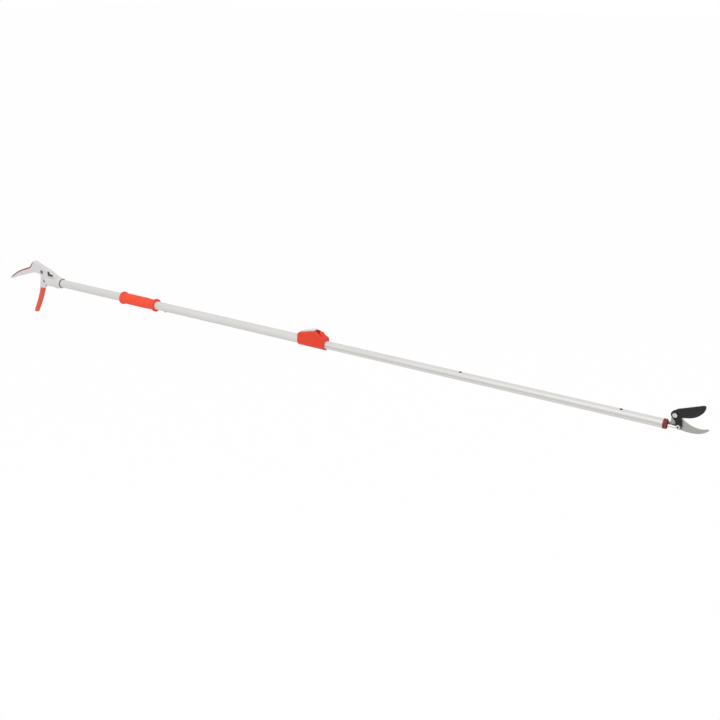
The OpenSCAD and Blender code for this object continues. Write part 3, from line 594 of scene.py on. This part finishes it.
# End plug: a dark red nylon plug in the front of the inner tube, which holds the hook's tang and guides
# the rod.
plug_red = Finish("plug_red", roughness=0.5, specular_ior_level=0.45)
plug_cloud = plug_red.noise(0.008, detail=3)
plug_grain = plug_red.noise(0.0005, detail=2)
plug_red.tint(plug_cloud, (0.19, 0.017, 0.012), (0.28, 0.032, 0.022))
plug_red.vary("Roughness", plug_cloud.spread(0.42, 0.56))
plug_red.bump(plug_grain, depth=0.00008, strength=0.5)
dress("end_plug", plug_red, edge=0.0004)

# Upper pull rod: a bright drawn steel rod, flattened at the front to an eye. A steel screw joins the
# eye to the blade; the dark socket in its head is painted shade.
rod_steel = metal("rod_steel", (0.6, 0.6, 0.56), (0.74, 0.74, 0.7), 0.28, lines=(0.03, 1, 1))
dress("upper_pull_rod", rod_steel, edge=0.0003)
link_at, socket_shade_radius = (1.436, 0), 0.0018
link_steel = Finish("link_steel", metallic=0.6, roughness=0.4)
# Painted shade: a near-black disc where the socket of the screw's head lies.
socket = link_steel.within(link_at, socket_shade_radius)
dull = link_steel.noise(0.002, detail=3)
plated = link_steel.mix(dull, (0.58, 0.57, 0.53), (0.72, 0.71, 0.67))
link_steel.tint(socket, plated, (0.02, 0.02, 0.02))
link_steel.vary("Metallic", 0.6 - socket * 0.6)
link_steel.bump(dull, depth=0.00003, strength=0.4)
dress("link_screw", link_steel, edge=0.0003)

# Hook blade: laser cut steel, blasted to a satin grey, with a hollow edge where the branch lies. Its
# tang is held in the plug by two rivets with domed heads.
hook_steel = Finish("hook_steel", metallic=0.85, specular_ior_level=0.5)
blasted = hook_steel.noise(0.0007, detail=3)
stain = hook_steel.noise(0.012, detail=4)
hook_steel.tint(stain * 0.6 + blasted * 0.4, (0.33, 0.34, 0.32), (0.47, 0.48, 0.46))
hook_steel.vary("Roughness", stain.spread(0.36, 0.5))
hook_steel.bump(blasted, depth=0.00005, strength=0.5)
dress("hook_blade", hook_steel, edge=0.00035)

first_rivet, facets = (1.381, 0, 0), 28
head_flat, head_at = (1, 0.52, 1), (0, 0.0099, 0)
shank_radius, shank_long, shank_at = 0.0015, 0.0055, (0, 0.00705, 0)
tree, given, result, add = node_tree("rivet_row", [
    ("Count", "Int"), ("Pitch", "Float"), ("Radius", "Float"), ("Finish", "Material")])
row = add("GeometryNodeMeshLine", {"mode": "OFFSET"}, {
    "Count": given["Count"], "Start Location": first_rivet,
    "Offset": add("ShaderNodeCombineXYZ", {}, {"X": given["Pitch"]})})
head = add("GeometryNodeMeshUVSphere", {}, {
    "Segments": facets, "Rings": 16, "Radius": given["Radius"]})
head = add("GeometryNodeTransform", {}, {
    "Geometry": head, "Scale": head_flat, "Translation": head_at})
shank = add("GeometryNodeMeshCylinder", {}, {
    "Vertices": facets, "Radius": shank_radius, "Depth": shank_long})
shank = add("GeometryNodeTransform", {}, {
    "Geometry": shank, "Rotation": (math.pi / 2, 0, 0), "Translation": shank_at})
joined = add("GeometryNodeJoinGeometry")
for part in (head, shank):
    tree.links.new(part, joined.node.inputs[0])
both = add("GeometryNodeInstanceOnPoints", {}, {"Points": row, "Instance": joined})
real = add("GeometryNodeRealizeInstances", {}, {"Geometry": both})
tree.links.new(add("GeometryNodeSetMaterial", {}, {
    "Geometry": real, "Material": given["Finish"]}), result)
rivets = grown("tang_rivet_heads", tree, {
    "Count": 2, "Pitch": 0.016, "Radius": 0.0025, "Finish": bright_steel.material})
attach(rivets, "front_pole")
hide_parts("tang_rivets")

# Cutting blade: hardened steel, ground along its edge and coated black so that sap doesn't stick. It
# turns on the head's bolt.
blade_black = Finish("blade_black", metallic=0.0, specular_ior_level=0.25)
film = blade_black.noise(0.0006, detail=3)
smear = blade_black.noise(0.015, detail=4)
blade_black.tint(smear * 0.6 + film * 0.4, (0.01, 0.01, 0.011), (0.022, 0.022, 0.023))
blade_black.vary("Roughness", smear.spread(0.3, 0.46))
blade_black.bump(film, depth=0.00004, strength=0.5)
dress("cutting_blade", blade_black)

# Bolt of the head: a slotted bolt of plated steel that the blade turns on. It goes through the hook,
# with a washer and a lock nut on the far side.
for node in ("pivot_bolt", "pivot_washer", "pivot_nut"):
    dress(node, bright_steel, edge=0.0003)

# Studio: a white sweep under the tool, a large soft lamp above and behind the camera, a weaker one from
# the other side, and the camera where the photographer stood.
scene = bpy.context.scene
scene.view_settings.view_transform = "Standard"
white = (1, 1, 1, 1)


def white_seen(shading, lit, plain, share):
    """Plain white for what the camera, mirrors and glass see of a surface that lights like another"""
    by_eye, by_mirror, by_glass = (shading.node("LightPath", out="Is " + kind + " Ray")
                                   for kind in ("Camera", "Glossy", "Transmission"))
    seen = (by_eye | by_mirror | by_glass) * share
    return shading.node("MixShader", {}, {0: seen, 1: lit, 2: plain})


floor_half, floor_level = 30, -0.6
floor_mesh = bpy.data.meshes.new("floor")
floor_mesh.from_pydata([(x * floor_half, y * floor_half, floor_level)
                        for x, y in ((-1, -1), (1, -1), (1, 1), (-1, 1))], [], [(0, 1, 2, 3)])
floor = placed("floor", floor_mesh)
paper = bpy.data.materials.new("paper")
sheet = Shading(paper)
sheet.tree.nodes.clear()
matte = sheet.node("BsdfDiffuse", {}, {"Color": (0.9, 0.9, 0.9, 1)})
glow = sheet.node("Emission", {}, {"Color": white})
sheet.node("OutputMaterial", {}, {0: white_seen(sheet, matte, glow, share=0.95)})
floor_mesh.materials.append(paper)

world = bpy.data.worlds.new("studio")
scene.world = world
sky = Shading(world)
sky.tree.nodes.clear()
ambient = sky.node("Background", {}, {"Color": white, "Strength": 0.88})
plain = sky.node("Background", {}, {"Color": white})
sky.node("OutputWorld", {}, {0: white_seen(sky, ambient, plain, share=1.0)})

middle = Vector((0.6, 0, 0))
for name, at, size, watts in (("key", (0.4, -2.2, 2.6), 2.0, 25), ("fill", (2.6, 1.2, 1.8), 2.5, 8)):
    light = bpy.data.lights.new(name, "AREA")
    light.size = size
    light.energy = watts
    lamp = placed(name, light)
    lamp.location = at
    lamp.rotation_euler = (middle - Vector(at)).to_track_quat("-Z", "Y").to_euler()

looks_down, swings_left = 0.376253391, 0.572942725
lens = bpy.data.cameras.new("camera")
lens.lens = 50
lens.sensor_width = 36
lens.clip_end = 100
camera = placed("camera", lens)
camera.location = (1.870454, -1.815963, 0.835485)
camera.rotation_euler = (math.pi / 2 - looks_down, 0, swings_left)
scene.camera = camera
